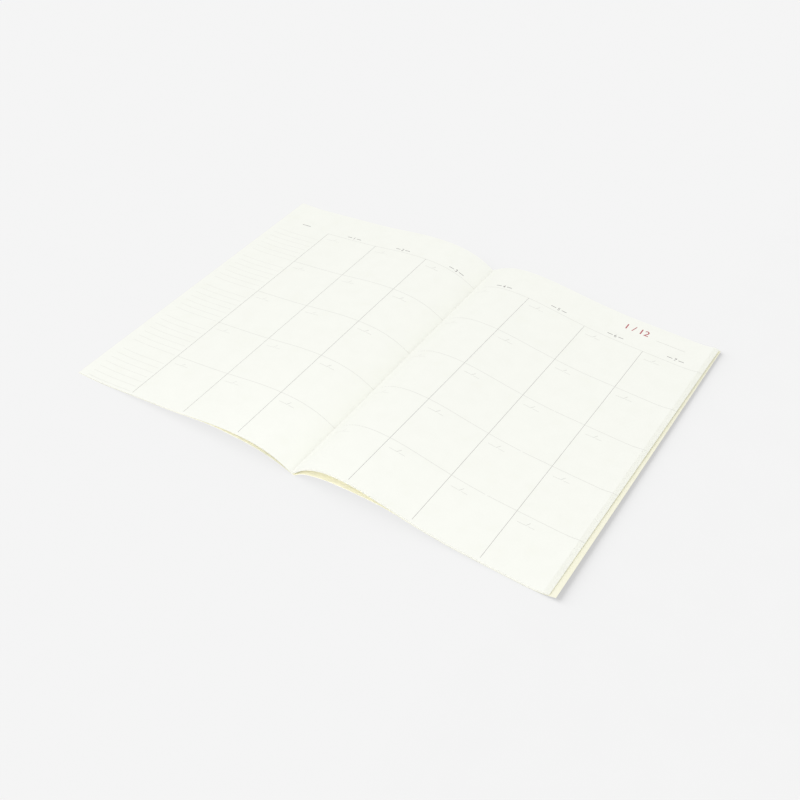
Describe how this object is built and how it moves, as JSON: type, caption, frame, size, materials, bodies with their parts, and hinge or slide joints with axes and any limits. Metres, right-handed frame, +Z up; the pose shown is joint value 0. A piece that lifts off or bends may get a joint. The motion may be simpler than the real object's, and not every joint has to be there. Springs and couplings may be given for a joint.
{
  "type": "monthly planner",
  "caption": "Soft saddle-stitched planner booklet lying open, with swelling leaves in a card cover that turns about its fold.",
  "frame": {"origin": "middle of the fold's length, at table height", "axes": "+X across the spread to the right-hand fore-edge, +Y along the fold from tail to head, +Z up from the table"},
  "size_m": [0.364, 0.257, 0.0171],
  "materials": {
    "cover_card": "matt",
    "writing_paper": "matt",
    "staple_wire": "drawn wire"
  },
  "bodies": {
    "right_half": {"back_cover": "cover_card", "right_leaves": "writing_paper", "staples": "staple_wire"},
    "left_half": {"front_cover": "cover_card", "left_leaves": "writing_paper"}
  },
  "joints": [
    {"name": "cover_hinge", "type": "hinge", "parent": "right_half", "child": "left_half", "pos_m": [0, 0, 0.0014], "axis": [0, 1, 0], "range_deg": [0, 172], "deforming": ["front_cover", "back_cover", "left_leaves", "right_leaves"]}
  ]
}
